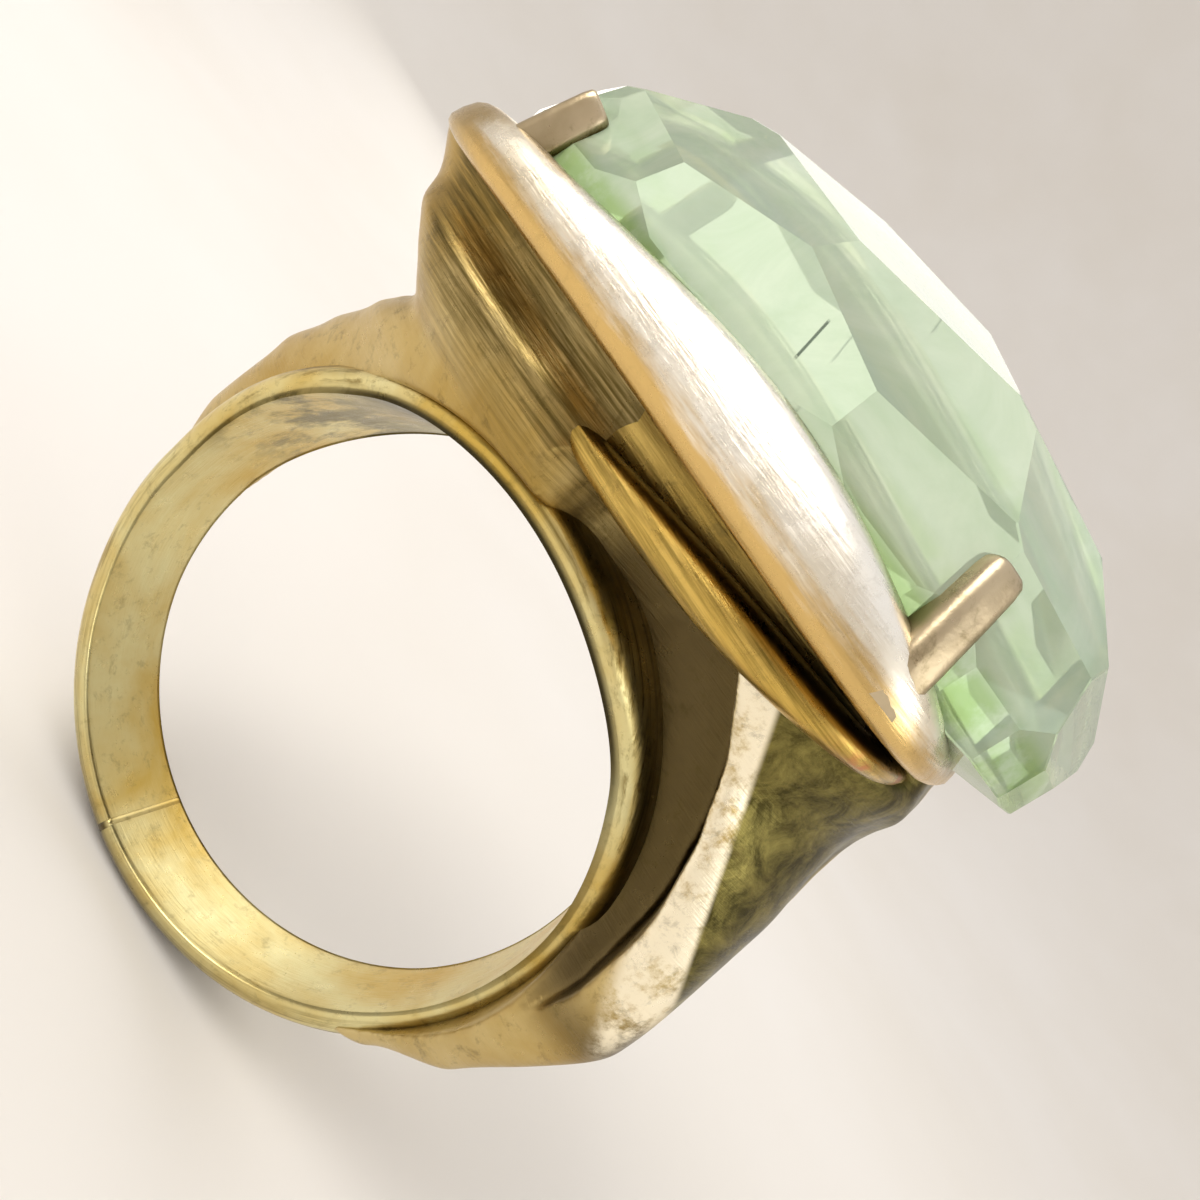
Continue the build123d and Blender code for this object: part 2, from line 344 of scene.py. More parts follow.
def build_rim():
    """The thick upper rim."""
    section = soft_section(RIM_WIDTH, RIM_BULGE)
    half = (RIM_HALF[0] - RIM_INSET, RIM_HALF[1] - RIM_INSET)
    bottom = (RIM_BOTTOM - RIM_DROP_MIDDLE, RIM_BOTTOM - RIM_DROP_END)
    heights = (*bottom, RIM_TOP_MIDDLE, RIM_TOP_END)
    return hoop("rim", half, section, heights, RIM_FLARE)


def build_lip():
    """The thinner lower lip, which meets the rim at the ends."""
    section = soft_section(LIP_WIDTH, 0.0, power=0.75)
    heights = (LIP_BOTTOM_MIDDLE, LIP_BOTTOM_END, LIP_TOP_MIDDLE, LIP_TOP_END)
    return hoop("lip", LIP_HALF, section, heights, LIP_FLARE, LIP_TUCK)


def build_wall():
    """The recessed wall in the groove between lip and rim."""
    top = RIM_BOTTOM + WALL_INTO_RIM
    heights = (LIP_TOP_MIDDLE - WALL_INTO_LIP, LIP_TOP_END - WALL_INTO_LIP, top, top)
    return hoop("groove_wall", LIP_HALF, WALL_SECTION, heights)


def crown_plane(row_angle, around):
    """Point and normal of a facet that touches the cushion form of the crown."""
    up = math.radians(row_angle)
    flat = 2.0 / STONE_POWER
    c = math.cos(around)
    s = math.sin(around)
    x = STONE_HALF[0] * math.cos(up) * math.copysign(abs(c) ** flat, c)
    y = STONE_HALF[1] * math.cos(up) * math.copysign(abs(s) ** flat, s)
    z = CROWN * math.sin(up)
    p = STONE_POWER
    u = max(abs(x / STONE_HALF[0]), 1e-6)
    v = max(abs(y / STONE_HALF[1]), 1e-6)
    shared = (u ** p + v ** p) ** (2 / p - 1)
    nx = math.copysign(shared * u ** (p - 1) / STONE_HALF[0], x)
    ny = math.copysign(shared * v ** (p - 1) / STONE_HALF[1], y)
    return Vector((x, y, GIRDLE_Z + z)), Vector((nx, ny, z / CROWN ** 2)).normalized()


def stone_planes():
    """Planes of the facets: the girdle, the rows of the crown, and the pavilion under it."""
    planes = []
    for i in range(GIRDLE_FACETS):
        planes.append(crown_plane(0.0, 2 * math.pi * i / GIRDLE_FACETS))
    for row_angle, count, turn in CROWN_ROWS:
        for i in range(count):
            planes.append(crown_plane(row_angle, 2 * math.pi * (i + turn) / count))
    for i in range(PAVILION_FACETS):
        point, normal = crown_plane(0.0, 2 * math.pi * i / PAVILION_FACETS)
        run = math.hypot(point.x, point.y) * PAVILION_RUN
        slope = Vector((normal.x * PAVILION, normal.y * PAVILION, -run)).normalized()
        planes.append((Vector((point.x, point.y, GIRDLE_Z - GIRDLE_HEIGHT)), slope))
    return planes


def build_stone():
    """The cushion stone: a block cut down by one flat facet after another."""
    build = bmesh.new()
    bmesh.ops.create_cube(build, size=1.0)
    height = CROWN + PAVILION + GIRDLE_HEIGHT
    for vertex in build.verts:
        vertex.co.x *= STONE_BLOCK
        vertex.co.y *= STONE_BLOCK
        vertex.co.z = GIRDLE_Z + CROWN - height / 2 + vertex.co.z * height
    for point, normal in stone_planes():
        geometry = build.verts[:] + build.edges[:] + build.faces[:]
        bmesh.ops.bisect_plane(
            build, geom=geometry, plane_co=point, plane_no=normal, clear_outer=True
        )
        rim_edges = [e for e in build.edges if e.is_boundary]
        if rim_edges:
            bmesh.ops.contextual_create(build, geom=rim_edges)
    bmesh.ops.remove_doubles(build, verts=build.verts, dist=0.01)
    bmesh.ops.recalc_face_normals(build, faces=build.faces)
    mesh = bpy.data.meshes.new("cut_stone")
    for vertex in build.verts:
        vertex.co = Vector(turned(vertex.co)) * MM
    build.to_mesh(mesh)
    build.free()
    obj = bpy.data.objects.new("cut_stone", mesh)
    bpy.context.scene.collection.objects.link(obj)
    bevel = obj.modifiers.new("worn_facet_edges", "BEVEL")
    bevel.width = FACET_WEAR * MM
    bevel.segments = 1
    return obj


def build_claw(name, side_x, side_y):
    """A rod with rounded edges that leans over the stone, its tip filed flat.

    The front left claw and the back right one, its half turn, have their own places.
    """
    foot_place = CLAW_FOOT
    tip_place = CLAW_TIP
    if side_x == side_y:
        foot_place = CLAW_LEFT_FOOT
        tip_place = CLAW_LEFT_TIP
    foot = Vector((side_x * foot_place[0], side_y * foot_place[1], foot_place[2]))
    tip = Vector((side_x * tip_place[0], side_y * tip_place[1], tip_place[2]))
    lean = (tip - foot).normalized()
    side = lean.cross(Vector((0, 0, 1))).normalized()
    up = side.cross(lean)
    length = (tip - foot).length
    points = []
    section = 24
    for part, radius in CLAW_STATIONS:
        centre = foot + lean * (part * length)
        for j in range(section):
            t = 2 * math.pi * j / section
            square = (math.cos(t) ** 4 + math.sin(t) ** 4) ** -0.25
            p = centre + (side * math.cos(t) + up * math.sin(t)) * radius * square
            points.append(turned(p))
    return mesh_object(name, points, tube_faces(len(CLAW_STATIONS), section))


def body_point(u, z):
    """Surface of the cast body in direction u at height z.

    The long sides are half turns of each other, each bulky in one quarter. The end walls
    are not: the left one is slimmer than the right one.
    """
    front = math.sin(u) < 0 or (abs(math.sin(u)) < 1e-9 and math.cos(u) > 0)
    local = u if front else u - math.pi
    x = math.cos(local)
    y = math.sin(local)
    bulky = smooth(-0.32, 0.55, x) * smooth(0.0, 0.22, -y)
    lip_height = mix(LIP_BOTTOM_MIDDLE, LIP_BOTTOM_END, smooth(0.5, 1.0, abs(x)))
    under_lip = LIP_OVERHANG * smooth(lip_height - 0.1, lip_height + 0.5, z)
    power = mix(along(CORNER_POWER, z), BULKY_POWER, bulky)
    front_wall = mix(along(SLIM_FRONT, z), along(BULKY_FRONT, z) - under_lip, bulky)
    left = x < 0 if front else x > 0
    end_wall = along(SLIM_END, z) if left else along(BULKY_END, z)
    total = (abs(y) / front_wall) ** power + (abs(x) / end_wall) ** power
    if x > 0:
        bevel = BEVEL_START - BEVEL_FALL * z - 0.5 * under_lip
        lean = max(x * BEVEL_NORMAL[0] + y * BEVEL_NORMAL[1], 0.0)
        total += bulky * (lean / bevel) ** power
    radius = total ** (-1 / power)
    sign = 1 if front else -1
    px = sign * radius * x
    py = sign * radius * y
    taken_up = smooth(TWIST_FROM, TWIST_TO, z)
    c = math.cos(TWIST * taken_up)
    s = math.sin(TWIST * taken_up)
    return (px * c - py * s + SHIFT * taken_up, px * s + py * c, z)


def build_blank():
    """The cast body before the finger hole and the two hollows are cut."""
    levels = 110
    around = 320
    points = []
    for i in range(levels):
        z = mix(BODY_LOW, BODY_TOP, i / (levels - 1))
        for j in range(around):
            points.append(body_point(2 * math.pi * j / around, z))
    return mesh_object("cast_body", points, tube_faces(levels, around))


def build_bore_cutter():
    """Cylinder that clears the band out of the cast body."""
    count = 200
    points = []
    for y in (-CUTTER_REACH, CUTTER_REACH):
        for i in range(count):
            a = 2 * math.pi * i / count
            points.append((BODY_BORE * math.cos(a), y, BODY_BORE * math.sin(a)))
    return mesh_object("bore_cutter", points, tube_faces(2, count))


def build_hollow_cutter(side):
    """Crescent between the band and the flange, deepest about halfway up the shoulder.

    Side is 1 for the front right shoulder and -1 for the back left one.
    """
    steps = 60
    points = []
    for i in range(steps):
        t = i / (steps - 1)
        degrees = mix(HOLLOW_EDGE[0][0], HOLLOW_EDGE[-1][0], t)
        angle = math.radians(degrees)
        reach = along(HOLLOW_EDGE, degrees)
        outer = (reach * math.cos(angle), reach * math.sin(angle))
        inner = (HOLLOW_INNER * math.cos(angle), HOLLOW_INNER * math.sin(angle))
        floor = -along(HOLLOW_FLOOR, degrees)
        for x, z in (inner, outer):
            for y in (-CUTTER_REACH, floor):
                points.append((side * x, side * y, z))
    faces = []
    for i in range(steps - 1):
        a = 4 * i
        b = a + 4
        faces.append((a, a + 1, b + 1, b))
        faces.append((a + 1, a + 3, b + 3, b + 1))
        faces.append((a + 3, a + 2, b + 2, b + 3))
        faces.append((a + 2, a, b, b + 2))
    faces.append((0, 2, 3, 1))
    end = 4 * (steps - 1)
    faces.append((end, end + 1, end + 3, end + 2))
    return mesh_object("hollow_cutter", points, faces)


def apply_modifiers(obj):
    """Replace an object's mesh with its modified form."""
    graph = bpy.context.evaluated_depsgraph_get()
    done = bpy.data.meshes.new_from_object(obj.evaluated_get(graph))
    obj.modifiers.clear()
    obj.data = done
    for polygon in done.polygons:
        polygon.use_smooth = True


def build_cast_body():
    """Both shoulders and the base of the setting as one casting, its edges softened by wear."""
    body = build_blank()
    cutters = [build_bore_cutter(), build_hollow_cutter(1), build_hollow_cutter(-1)]
    for cutter in cutters:
        cut = body.modifiers.new("cut", "BOOLEAN")
        cut.operation = "DIFFERENCE"
        cut.solver = "EXACT"
        cut.object = cutter
    remesh = body.modifiers.new("cast", "REMESH")
    remesh.mode = "VOXEL"
    remesh.voxel_size = CAST_GRAIN * MM
    soften = body.modifiers.new("wear", "SMOOTH")
    soften.factor = WEAR_AMOUNT
    soften.iterations = WEAR_PASSES
    apply_modifiers(body)
    for cutter in cutters:
        bpy.data.objects.remove(cutter)
    return body


# ---- materials: colours ----
OLIVE_DARK = (0.055, 0.045, 0.012)
OLIVE_LIGHT = (0.27, 0.225, 0.065)
# streaked painted shade on the body under the setting
COVE_SHADE = (0.12, 0.085, 0.022)
# painted shade in the hollow of each bulky shoulder
HOLLOW_SHADE = (0.13, 0.095, 0.042)
# painted highlight along the ridge of each bulky shoulder
RIDGE_HIGHLIGHT = (0.96, 0.87, 0.66)
RIM_TAN = (0.66, 0.45, 0.17)
RIM_BROWN = (0.50, 0.36, 0.16)
LIP_DARK = (0.17, 0.115, 0.02)
# painted reflection: red-brown patches at the right end of the lip
LIP_COPPER_REFLECTION = (0.55, 0.20, 0.08)
BAND_STREAK = (0.20, 0.135, 0.03)
BAND_PATCH = (0.22, 0.18, 0.07)
# painted shadow inside the top of the finger hole
BAND_ROOF_SHADOW = (0.06, 0.05, 0.022)
SOLDER_DARK = (0.10, 0.075, 0.03)
# speckled patina, and painted shade in hollows and creases
PATINA_AND_SHADE = (0.15, 0.11, 0.035)
STONE_DEEP = (0.62, 0.80, 0.58)
STONE_CLEAR = (0.84, 0.96, 0.78)
STONE_RIM = (0.42, 0.64, 0.25)
NEEDLE_BLACK = (0.01, 0.015, 0.01)
PAPER_WARM = (0.80, 0.765, 0.71)
PAPER_COOL = (0.84, 0.815, 0.78)

# ---- materials: places in millimetres, as (0 at this value, 1 at this value) ----
BAND_OUTSIDE = (8.85, 9.15)
BAND_INSIDE = (8.9, 8.75)
SOLDER_OUTSIDE = (8.85, 9.1)
# the ridge between the hollow and the outside of a bulky shoulder, as a sloping line
RIDGE_NORMAL = (0.813, 0.581)
RIDGE_DISTANCE = 11.55
# the dark needle in the stone: a steep line from low to high
NEEDLE_SLOPE = 0.276
NEEDLE_PLACE = 5.48
NEEDLE_WIDTH = (0.045, 0.02)
NEEDLE_LOW = (15.2, 15.35)
NEEDLE_HIGH = (16.25, 16.15)
# how far the dark of a hollow reaches, and how deep brush marks and dents are
SHADE_REACH = 2.6
BRUSH_DEPTH = 0.04
DENT_DEPTH = 0.06
ROUGHNESS_SPREAD = 0.16


# ---- materials: nodes ----
def new_material(name):
    """A new material with its nodes, links and main shader."""
    material = bpy.data.materials.new(name)
    material.use_nodes = True
    nodes = material.node_tree.nodes
    return material, nodes, material.node_tree.links, nodes["Principled BSDF"]


def millimetres(nodes, links):
    """Object coordinates in millimetres."""
    coordinate = nodes.new("ShaderNodeTexCoord")
    scale = nodes.new("ShaderNodeVectorMath")
    scale.operation = "SCALE"
    scale.inputs["Scale"].default_value = 1000.0
    links.new(coordinate.outputs["Object"], scale.inputs[0])
    return scale.outputs[0]


def noise(nodes, links, vector, scale, detail=4.0, roughness=0.55, distortion=0.0):
    """Fractal noise from 0 to 1."""
    node = nodes.new("ShaderNodeTexNoise")
    node.inputs["Scale"].default_value = scale
    node.inputs["Detail"].default_value = detail
    node.inputs["Roughness"].default_value = roughness
    node.inputs["Distortion"].default_value = distortion
    links.new(vector, node.inputs["Vector"])
    return node.outputs["Fac"]


def stretch(nodes, links, vector, factors):
    """A place scaled along each axis, so that noise read there runs in streaks."""
    node = nodes.new("ShaderNodeVectorMath")
    node.operation = "MULTIPLY"
    node.inputs[1].default_value = factors
    links.new(vector, node.inputs[0])
    return node.outputs[0]


def ramp(nodes, links, value, stops):
    """Colour for a value, from (position, colour) stops."""
    node = nodes.new("ShaderNodeValToRGB")
    elements = node.color_ramp.elements
    while len(elements) < len(stops):
        elements.new(0.5)
    for element, (position, colour) in zip(elements, stops):
        element.position = position
        element.color = (*colour, 1.0)
    links.new(value, node.inputs["Fac"])
    return node.outputs["Color"]


def grey(low, high):
    """Two-stop black to white ramp."""
    return ((low, (0.0, 0.0, 0.0)), (high, (1.0, 1.0, 1.0)))


def blend_colour(nodes, links, factor, first, second):
    """First colour at factor 0 and second at 1. Each input is a socket or a plain value."""
    node = nodes.new("ShaderNodeMix")
    node.data_type = "RGBA"
    inputs = ((node.inputs[0], factor), (node.inputs[6], first), (node.inputs[7], second))
    for socket, value in inputs:
        if isinstance(value, bpy.types.NodeSocket):
            links.new(value, socket)
        elif isinstance(value, float):
            socket.default_value = value
        else:
            socket.default_value = (*value, 1.0)
    return node.outputs[2]


def math_node(nodes, links, operation, first, second=0.0, third=0.0):
    """One math node fed by sockets or numbers."""
    node = nodes.new("ShaderNodeMath")
    node.operation = operation
    for socket, value in zip(node.inputs, (first, second, third)):
        if isinstance(value, bpy.types.NodeSocket):
            links.new(value, socket)
        else:
            socket.default_value = value
    return node.outputs[0]


def axes_of(nodes, links, place):
    """X, Y and Z of a place as separate values."""
    split = nodes.new("ShaderNodeSeparateXYZ")
    links.new(place, split.inputs[0])
    return split.outputs


def step_mask(nodes, links, value, start, end):
    """0 at start and 1 at end of a value in millimetres."""
    node = nodes.new("ShaderNodeMapRange")
    node.interpolation_type = "SMOOTHSTEP"
    node.inputs["From Min"].default_value = start
    node.inputs["From Max"].default_value = end
    links.new(value, node.inputs["Value"])
    return node.outputs["Result"]


def times(nodes, links, *factors):
    """Product of several values."""
    product = factors[0]
    for factor in factors[1:]:
        product = math_node(nodes, links, "MULTIPLY", product, factor)
    return product


def distance_from_axis(nodes, links, x, z):
    """Distance from the axis of the finger bore."""
    square = math_node(nodes, links, "MULTIPLY", x, x)
    square = math_node(nodes, links, "MULTIPLY_ADD", z, z, square)
    return math_node(nodes, links, "SQRT", square)


# ---- materials: paint ----
def shoulder_reach(nodes, links, x, z):
    """Distance out along the slope of the bulky shoulder, zero at its ridge."""
    across = math_node(nodes, links, "ABSOLUTE", x)
    across = math_node(nodes, links, "MULTIPLY", across, RIDGE_NORMAL[0])
    across = math_node(nodes, links, "SUBTRACT", across, RIDGE_DISTANCE)
    return math_node(nodes, links, "MULTIPLY_ADD", z, RIDGE_NORMAL[1], across)


def paint_shoulder(nodes, links, place, colour):
    """Mottled patina outside, a painted highlight along the ridge, painted shade in the hollow and
    streaked painted shade high on the body under the setting.
    """
    x, y, z = axes_of(nodes, links, place)
    side = step_mask(nodes, links, math_node(nodes, links, "MULTIPLY", x, y), -1.0, -6.0)
    reach = shoulder_reach(nodes, links, x, z)
    depth = math_node(nodes, links, "ABSOLUTE", y)
    mottle = noise(nodes, links, place, 1.1, 9.0, 0.74, 0.5)
    olive = ramp(nodes, links, mottle, ((0.40, OLIVE_DARK), (0.70, OLIVE_LIGHT)))
    streak_place = stretch(nodes, links, place, (0.25, 0.25, 7.0))
    streaks = noise(nodes, links, streak_place, 1.2, 7.0, 0.7)
    # Streaked painted shade: a dark band, broken up by brush streaks, high on the body under the
    # setting.
    cove_shade = times(
        nodes, links,
        step_mask(nodes, links, z, 8.4, 11.0),
        step_mask(nodes, links, streaks, 0.72, 0.34),
        step_mask(nodes, links, x, 5.0, 1.0),
        step_mask(nodes, links, math_node(nodes, links, "ADD", x, z), 2.8, 4.0),
    )
    colour = blend_colour(nodes, links, cove_shade, colour, COVE_SHADE)
    # Painted shade: the hollow of each bulky shoulder is coloured dark brown.
    hollow = times(
        nodes, links, side,
        step_mask(nodes, links, depth, 4.2, 3.4),
        step_mask(nodes, links, reach, 0.1, -0.5),
        step_mask(nodes, links, z, 0.5, 2.5),
    )
    colour = blend_colour(nodes, links, hollow, colour, HOLLOW_SHADE)
    outside = times(nodes, links, side, step_mask(nodes, links, reach, 0.0, 0.3))
    colour = blend_colour(nodes, links, outside, colour, olive)
    # Painted highlight: pale cream along the ridge, broken into patches by noise.
    highlight_breakup = step_mask(nodes, links, noise(nodes, links, place, 1.0, 9.0, 0.7), 0.32, 0.52)
    ridge = times(
        nodes, links, side, highlight_breakup,
        step_mask(nodes, links, reach, -1.6, -1.0),
        step_mask(nodes, links, reach, 0.3, 0.1),
        step_mask(nodes, links, depth, 3.0, 3.8),
    )
    return blend_colour(nodes, links, ridge, colour, RIDGE_HIGHLIGHT)


def paint_rim(nodes, links, place, colour):
    """Cream along the top as a painted highlight, tan under the edge and a browned left tip."""
    x, _, z = axes_of(nodes, links, place)
    # The cream base colour is a painted highlight; below a ragged line near the lower edge it turns
    # tan.
    fine = noise(nodes, links, stretch(nodes, links, place, (0.3, 0.3, 3.0)), 1.2, 6.0, 0.65)
    ragged = math_node(nodes, links, "MULTIPLY_ADD", fine, -1.1, z)
    low = step_mask(nodes, links, ragged, 12.75, 12.2)
    colour = blend_colour(nodes, links, low, colour, RIM_TAN)
    blotch = noise(nodes, links, place, 0.9, 8.0, 0.7)
    tip = math_node(nodes, links, "MULTIPLY_ADD", blotch, -3.0, x)
    tip = times(
        nodes, links,
        step_mask(nodes, links, tip, -8.4, -10.2),
        step_mask(nodes, links, z, 14.4, 13.4),
    )
    return blend_colour(nodes, links, tip, colour, RIM_BROWN)


def paint_lip(nodes, links, place, colour):
    """Dark and gold streaks that run along the lip, and red-brown patches of painted reflection at
    its right end.
    """
    streak_place = stretch(nodes, links, place, (0.22, 0.22, 7.0))
    streaks = ramp(nodes, links, noise(nodes, links, streak_place, 1.1, 7.0, 0.7), grey(0.42, 0.70))
    colour = blend_colour(nodes, links, streaks, colour, LIP_DARK)
    x = axes_of(nodes, links, place)[0]
    # Painted reflection: red-brown patches near the right end of the lip.
    copper_reflection = times(
        nodes, links,
        step_mask(nodes, links, x, 7.2, 8.6),
        step_mask(nodes, links, noise(nodes, links, place, 0.8, 6.0, 0.6), 0.46, 0.6),
    )
    return blend_colour(nodes, links, copper_reflection, colour, LIP_COPPER_REFLECTION)


def paint_band(nodes, links, place, colour):
    """Brushed streaks outside the band, and inside a dull patch and a painted shadow across the top.
    """
    x, y, z = axes_of(nodes, links, place)
    radius = distance_from_axis(nodes, links, x, z)
    ring = nodes.new("ShaderNodeCombineXYZ")
    links.new(math_node(nodes, links, "MULTIPLY", radius, 3.0), ring.inputs[0])
    links.new(math_node(nodes, links, "MULTIPLY", y, 3.0), ring.inputs[1])
    links.new(math_node(nodes, links, "MULTIPLY", z, 0.12), ring.inputs[2])
    brushed = noise(nodes, links, ring.outputs[0], 1.0, 6.0, 0.7)
    streaks = ramp(nodes, links, brushed, grey(0.50, 0.66))
    outside = times(nodes, links, streaks, step_mask(nodes, links, radius, *BAND_OUTSIDE))
    colour = blend_colour(nodes, links, outside, colour, BAND_STREAK)
    patch = times(
        nodes, links,
        step_mask(nodes, links, x, -5.2, -7.4),
        step_mask(nodes, links, z, 0.5, 3.0),
        step_mask(nodes, links, noise(nodes, links, place, 0.5, 7.0, 0.65), 0.42, 0.58),
        step_mask(nodes, links, radius, *BAND_INSIDE),
    )
    colour = blend_colour(nodes, links, patch, colour, BAND_PATCH)
    # Painted shadow: the inside of the band darkens towards the top, under the setting.
    roof_shadow = times(
        nodes, links,
        step_mask(nodes, links, z, 5.0, 7.4),
        step_mask(nodes, links, radius, *BAND_INSIDE),
    )
    return blend_colour(nodes, links, roof_shadow, colour, BAND_ROOF_SHADOW)


def paint_solder(nodes, links, place, colour):
    """The joint shows dark only on the outside of the band."""
    x, _, z = axes_of(nodes, links, place)
    radius = distance_from_axis(nodes, links, x, z)
    outside = step_mask(nodes, links, radius, *SOLDER_OUTSIDE)
    return blend_colour(nodes, links, outside, colour, SOLDER_DARK)


def gilt(name, pale, warm, dark, tarnish, shine, brush=(1.0, 1.0, 1.0), paint=None):
    """Worn gilt: pale and warm patches, dark patina and painted shade in hollows, fine brush marks.
    """
    material, nodes, links, shader = new_material(name)
    place = millimetres(nodes, links)
    patches = ramp(nodes, links, noise(nodes, links, place, 0.22, 5.0, 0.55, 0.4), grey(0.36, 0.66))
    colour = blend_colour(nodes, links, patches, pale, warm)
    if paint:
        colour = paint(nodes, links, place, colour)
    # Painted shade: ambient occlusion darkens hollows, creases and gaps between parts.
    hollow = nodes.new("ShaderNodeAmbientOcclusion")
    hollow.inputs["Distance"].default_value = SHADE_REACH * MM
    hollow.samples = 6
    shade = ramp(nodes, links, hollow.outputs["AO"], ((0.22, (0.92,) * 3), (0.72, (0.0,) * 3)))
    speckle = ramp(nodes, links, noise(nodes, links, place, 1.9, 10.0, 0.74, 0.3), grey(0.54, 0.74))
    tarnish_and_shade = math_node(nodes, links, "MULTIPLY_ADD", speckle, tarnish, shade)
    colour = blend_colour(nodes, links, tarnish_and_shade, colour, dark)
    links.new(colour, shader.inputs["Base Color"])
    shader.inputs["Metallic"].default_value = 1.0
    rough_noise = noise(nodes, links, place, 1.6, 8.0, 0.7)
    rough = nodes.new("ShaderNodeMapRange")
    rough.inputs["From Min"].default_value = 0.3
    rough.inputs["From Max"].default_value = 0.7
    rough.inputs["To Min"].default_value = shine
    rough.inputs["To Max"].default_value = shine + ROUGHNESS_SPREAD
    links.new(rough_noise, rough.inputs["Value"])
    links.new(rough.outputs["Result"], shader.inputs["Roughness"])
    lines = noise(nodes, links, stretch(nodes, links, place, brush), 2.2, 5.0, 0.6)
    bump = nodes.new("ShaderNodeBump")
    bump.inputs["Strength"].default_value = 0.4
    bump.inputs["Distance"].default_value = BRUSH_DEPTH * MM
    links.new(lines, bump.inputs["Height"])
    dents = nodes.new("ShaderNodeBump")
    dents.inputs["Strength"].default_value = 0.35
    dents.inputs["Distance"].default_value = DENT_DEPTH * MM
    links.new(noise(nodes, links, place, 0.55, 2.0, 0.4), dents.inputs["Height"])
    links.new(bump.outputs["Normal"], dents.inputs["Normal"])
    links.new(dents.outputs["Normal"], shader.inputs["Normal"])
    return material


def inclusion(nodes, links, x, z):
    """Mask of one fine dark needle on each long side of the stone."""
    line = math_node(nodes, links, "MULTIPLY_ADD", z, NEEDLE_SLOPE, x)
    offset = math_node(nodes, links, "SUBTRACT", line, NEEDLE_PLACE)
    offset = math_node(nodes, links, "ABSOLUTE", offset)
    return times(
        nodes, links,
        step_mask(nodes, links, offset, *NEEDLE_WIDTH),
        step_mask(nodes, links, z, *NEEDLE_LOW),
        step_mask(nodes, links, z, *NEEDLE_HIGH),
    )


def stone_material():
    """Pale mint stone: clear, slightly milky, with cloudy wisps inside."""
    material, nodes, links, shader = new_material("pale_green_stone")
    place = millimetres(nodes, links)
    wisps = noise(nodes, links, place, 0.28, 5.0, 0.6, 1.2)
    body = ramp(nodes, links, wisps, ((0.3, STONE_DEEP), (0.7, STONE_CLEAR)))
    x, _, z = axes_of(nodes, links, place)
    near_rim = times(
        nodes, links,
        step_mask(nodes, links, z, 14.8, 14.3),
        step_mask(nodes, links, noise(nodes, links, place, 0.7, 5.0, 0.6), 0.3, 0.55),
    )
    body = blend_colour(nodes, links, near_rim, body, STONE_RIM)
    body = blend_colour(nodes, links, inclusion(nodes, links, x, z), body, NEEDLE_BLACK)
    links.new(body, shader.inputs["Base Color"])
    shader.inputs["Roughness"].default_value = 0.04
    shader.inputs["IOR"].default_value = 1.55
    shader.inputs["Transmission Weight"].default_value = 0.6
    shader.inputs["Specular IOR Level"].default_value = 0.25
    shader.inputs["Specular Tint"].default_value = (0.78, 1.0, 0.76, 1.0)
    return material


def floor_material():
    """Pale matt paper."""
    material, nodes, links, shader = new_material("pale_floor")
    place = millimetres(nodes, links)
    cloud = noise(nodes, links, place, 0.02, 3.0)
    tone = ramp(nodes, links, cloud, ((0.3, PAPER_WARM), (0.7, PAPER_COOL)))
    links.new(tone, shader.inputs["Base Color"])
    shader.inputs["Roughness"].default_value = 0.85
    return material


band_metal = gilt(
    "band_gilt", pale=(0.74, 0.67, 0.35), warm=(0.60, 0.41, 0.09), dark=PATINA_AND_SHADE,
    tarnish=0.5, shine=0.24, brush=(0.4, 5.0, 0.4), paint=paint_band,
)
shoulder_metal = gilt(
    "shoulder_gilt", pale=(0.62, 0.49, 0.23), warm=(0.45, 0.30, 0.08), dark=(0.09, 0.065, 0.02),
    tarnish=0.6, shine=0.24, brush=(0.4, 0.4, 6.0), paint=paint_shoulder,
)
# The rim's near-white cream base colour is a painted highlight on the gilt.
rim_highlight_metal = gilt(
    "rim_highlight_gilt", pale=(0.98, 0.94, 0.85), warm=(0.92, 0.82, 0.62), dark=PATINA_AND_SHADE,
    tarnish=0.25, shine=0.2, brush=(0.4, 0.4, 5.0), paint=paint_rim,
)
lip_metal = gilt(
    "lip_gilt", pale=(0.72, 0.51, 0.15), warm=(0.54, 0.34, 0.06), dark=PATINA_AND_SHADE,
    tarnish=0.5, shine=0.22, brush=(0.4, 0.4, 5.0), paint=paint_lip,
)
claw_metal = gilt(
    "claw_gilt", pale=(0.70, 0.58, 0.40), warm=(0.34, 0.26, 0.14), dark=PATINA_AND_SHADE,
    tarnish=0.8, shine=0.24,
)
solder_metal = gilt(
    "solder", pale=(0.72, 0.65, 0.34), warm=(0.60, 0.41, 0.09), dark=PATINA_AND_SHADE,
    tarnish=0.5, shine=0.26, paint=paint_solder,
)
green_stone = stone_material()


def dress(obj, material, slot, *nodes):
    """Give a new piece its material and its body, and hide the CAD nodes that it stands for."""
    obj.data.materials.clear()
    obj.data.materials.append(material)
    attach(obj, "root")
    if nodes:
        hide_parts(*nodes)


dress(build_band(), band_metal, "gilt_metal", "finger_band")
dress(build_seam(), solder_metal, "solder", "sizing_seam")
dress(build_rim(), rim_highlight_metal, "gilt_metal", "upper_rim")
dress(build_lip(), lip_metal, "gilt_metal", "lower_lip")
dress(build_wall(), lip_metal, "gilt_metal", "gallery_wall")
dress(build_stone(), green_stone, "green_stone", "stone")
for claw_name, sx, sy in (
    ("claw_front_left", -1, -1),
    ("claw_front_right", 1, -1),
    ("claw_back_left", -1, 1),
    ("claw_back_right", 1, 1),
):
    dress(build_claw(claw_name + "_rod", sx, sy), claw_metal, "gilt_metal", claw_name)
dress(
    build_cast_body(), shoulder_metal, "gilt_metal",
    "shoulder_right", "shoulder_left", "gallery_base",
)


def paint_node(node, material):
    """Give a CAD node that stays in view its material."""
    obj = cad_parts[node]
    if not obj.material_slots:
        obj.data.materials.append(material)
    for slot in obj.material_slots:
        slot.material = material


paint_node("stone_seat", lip_metal)


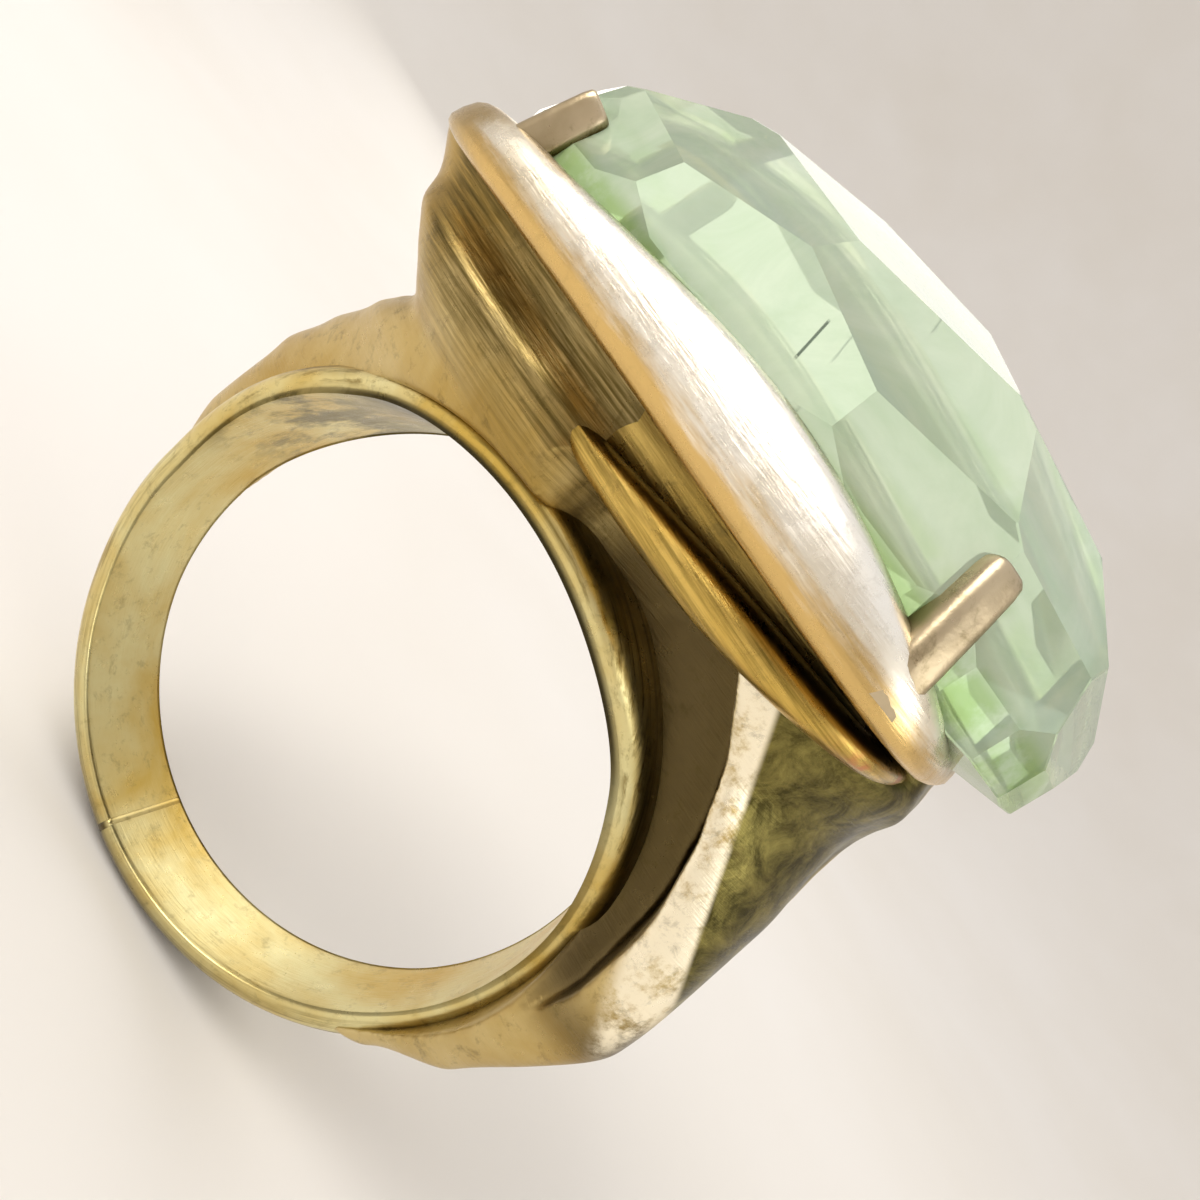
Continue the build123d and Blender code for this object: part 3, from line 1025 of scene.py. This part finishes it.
# ---- floor, light and camera ----
def build_floor():
    """A flat round floor that sweeps up at its edge into a pale backdrop all round."""
    profile = [(FLOOR_MIDDLE, FLOOR_Z), (FLOOR_FLAT, FLOOR_Z)]
    for i in range(1, 13):
        t = math.radians(90.0 * i / 12)
        outward = FLOOR_FLAT + FLOOR_SWEEP * math.sin(t)
        profile.append((outward, FLOOR_Z + FLOOR_SWEEP * (1 - math.cos(t))))
    profile.append((BACKDROP_TOP[0], FLOOR_Z + BACKDROP_TOP[1]))
    points = [(0.0, 0.0, FLOOR_Z)]
    faces = []
    count = 96
    for radius, z in profile:
        for i in range(count):
            a = 2 * math.pi * i / count
            points.append((radius * math.cos(a), radius * math.sin(a), z))
    for i in range(count):
        j = (i + 1) % count
        faces.append((0, 1 + i, 1 + j))
        for ring in range(len(profile) - 1):
            a = 1 + ring * count
            faces.append((a + i, a + count + i, a + count + j, a + j))
    obj = mesh_object("floor", points, faces)
    obj.data.materials.append(floor_material())


def area_light(name, place, size, power, colour):
    """A soft square light that faces a point on the ring."""
    data = bpy.data.lights.new(name, "AREA")
    data.shape = "SQUARE"
    data.size = size * MM
    data.energy = power
    data.color = colour
    obj = bpy.data.objects.new(name, data)
    obj.location = Vector(place) * MM
    direction = (Vector(LIGHT_TARGET) - Vector(place)).normalized()
    obj.rotation_euler = direction.to_track_quat("-Z", "Y").to_euler()
    bpy.context.scene.collection.objects.link(obj)


def build_lights():
    """A warm window from the near left, two weaker lights and a pale sky."""
    area_light("window", (-90.0, -60.0, 130.0), 110.0, 0.16, (1.0, 0.97, 0.93))
    area_light("side", (130.0, -40.0, 60.0), 90.0, 0.05, (0.95, 0.98, 1.0))
    area_light("back", (-60.0, 140.0, 70.0), 120.0, 0.05, (1.0, 0.98, 0.95))
    world = bpy.data.worlds.new("studio")
    world.use_nodes = True
    background = world.node_tree.nodes["Background"]
    background.inputs["Color"].default_value = (0.90, 0.88, 0.88, 1.0)
    background.inputs["Strength"].default_value = 0.95
    bpy.context.scene.world = world


def build_camera():
    """The camera stands close to the ring, level with the stone, and is rolled on its side."""
    data = bpy.data.cameras.new("camera")
    data.sensor_width = 36.0
    data.lens = 27.0
    data.clip_start = 0.001
    data.clip_end = 10.0
    obj = bpy.data.objects.new("camera", data)
    ahead = Vector(CAMERA_TARGET) - Vector(CAMERA_PLACE)
    level = ahead.to_track_quat("-Z", "Y").to_matrix()
    obj.rotation_euler = (level @ Matrix.Rotation(CAMERA_ROLL, 3, "Z")).to_euler()
    obj.location = Vector(CAMERA_PLACE) * MM
    bpy.context.scene.collection.objects.link(obj)
    bpy.context.scene.camera = obj


build_floor()
build_lights()
build_camera()
bpy.context.scene.view_settings.view_transform = "Standard"
